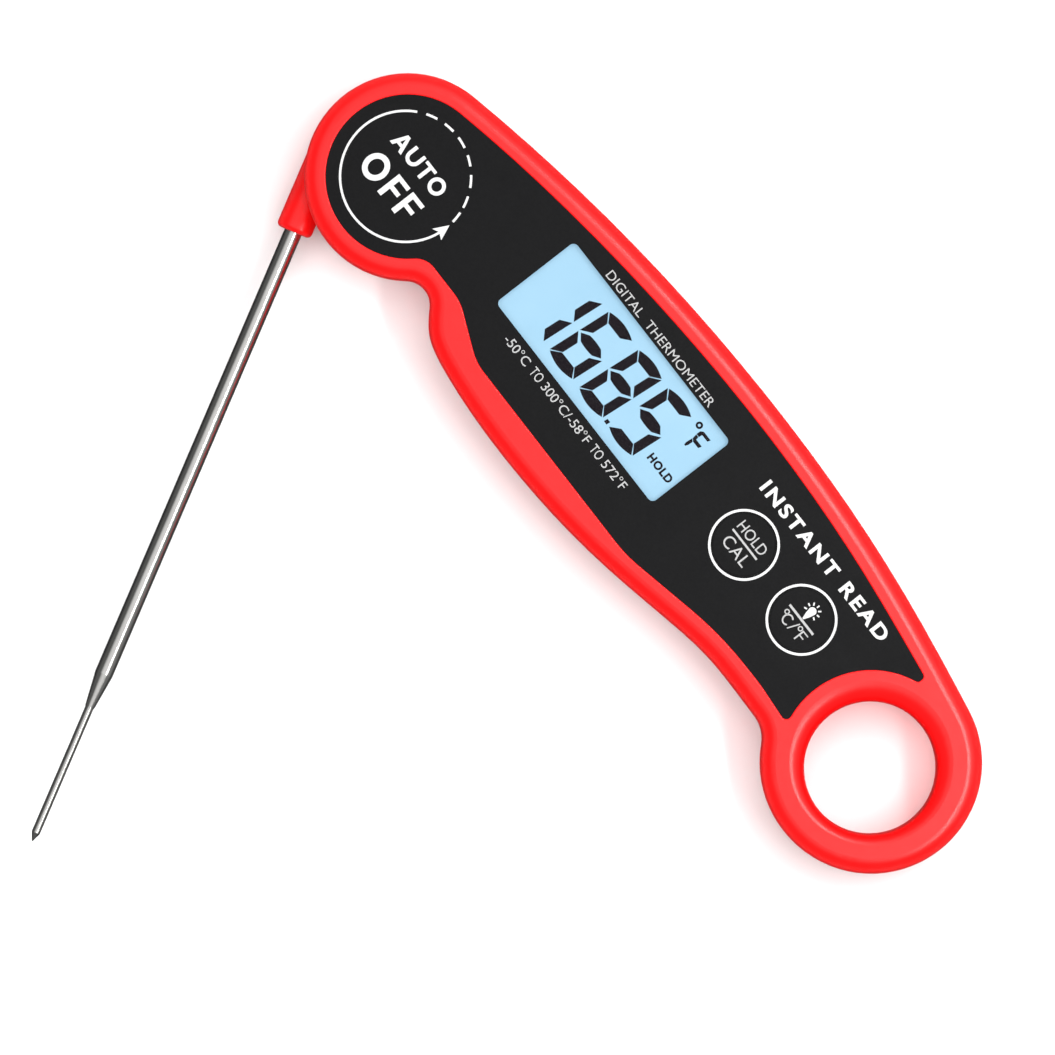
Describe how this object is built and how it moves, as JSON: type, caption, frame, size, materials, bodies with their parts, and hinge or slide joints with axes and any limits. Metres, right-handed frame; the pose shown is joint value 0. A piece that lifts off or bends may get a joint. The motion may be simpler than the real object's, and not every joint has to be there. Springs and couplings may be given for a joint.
{
  "type": "folding instant-read thermometer",
  "caption": "Slim handheld digital thermometer with a display, press keys, a hanging ring and a thin steel probe that folds into a slot along the case.",
  "frame": {"origin": "on the flat rear face, under the axis that the probe folds about", "axes": "+X from the pivot to the hanging ring, +Y towards the top of the display, +Z out of the display"},
  "size_m": [0.1651, 0.1467, 0.0196],
  "materials": {
    "red_plastic": "satin moulded",
    "panel_film": "printed black film",
    "clear_window": "clear",
    "display_glass": "backlit",
    "white_plastic": "translucent",
    "black_plastic": "moulded",
    "grey_plastic": "moulded",
    "seal_rubber": "moulded",
    "board_laminate": "solder mask",
    "chip_resin": "cast",
    "potting_resin": "cast",
    "wire_cover": "extruded",
    "stainless": "polished",
    "zinc_steel": "plated",
    "nickel_plate": "plated",
    "sensor_bead": "glazed"
  },
  "bodies": {
    "housing": {"front_shell": "red_plastic", "rear_shell": "red_plastic", "body_gasket": "seal_rubber", "pivot_plate": "black_plastic", "panel_overlay": "panel_film", "display_window": "clear_window", "lcd_panel": "display_glass", "lcd_frame": "black_plastic", "backlight_plate": "white_plastic", "backlight_lamps": "white_plastic", "zebra_strips": "seal_rubber", "main_board": "board_laminate", "controller_chip": "chip_resin", "board_parts": "chip_resin", "button_switches": "black_plastic", "fold_sensor": "chip_resin", "lead_connector": "white_plastic", "sensor_lead": "wire_cover", "coin_cell": "nickel_plate", "battery_holder": "black_plastic", "contact_plus": "nickel_plate", "contact_minus": "nickel_plate", "rear_magnets": "nickel_plate", "case_screws": "zinc_steel", "board_screws": "zinc_steel", "plate_screws": "zinc_steel", "pivot_screw": "zinc_steel", "pivot_washer": "zinc_steel", "friction_washer": "zinc_steel"},
    "hold_key": {"hold_button": "panel_film", "hold_plunger": "grey_plastic", "hold_switch_stem": "black_plastic"},
    "light_key": {"light_button": "panel_film", "light_plunger": "grey_plastic", "light_switch_stem": "black_plastic"},
    "door": {"battery_door": "red_plastic", "door_seal": "seal_rubber"},
    "probe": {"probe_hub": "red_plastic", "probe_tube": "stainless", "probe_tip": "stainless", "thermistor": "sensor_bead", "sensor_wires": "wire_cover", "hub_potting": "potting_resin", "hub_magnet": "nickel_plate", "hub_seal": "seal_rubber"}
  },
  "joints": [
    {"name": "probe_fold", "type": "hinge", "parent": "housing", "child": "probe", "pos_m": [0, 0, 0.0078], "axis": [0, 0, 1], "range_deg": [-118.95, 61.05]},
    {"name": "hold_press", "type": "slide", "parent": "housing", "child": "hold_key", "axis": [0, 0, -1], "range_m": [0, 0.00035], "stiffness_N_per_m": 3000},
    {"name": "light_press", "type": "slide", "parent": "housing", "child": "light_key", "axis": [0, 0, -1], "range_m": [0, 0.00035], "stiffness_N_per_m": 3000},
    {"name": "door_turn", "type": "hinge", "parent": "housing", "child": "door", "pos_m": [0.092, 0.0065, 0], "axis": [0, 0, -1], "range_deg": [0, 45]}
  ]
}
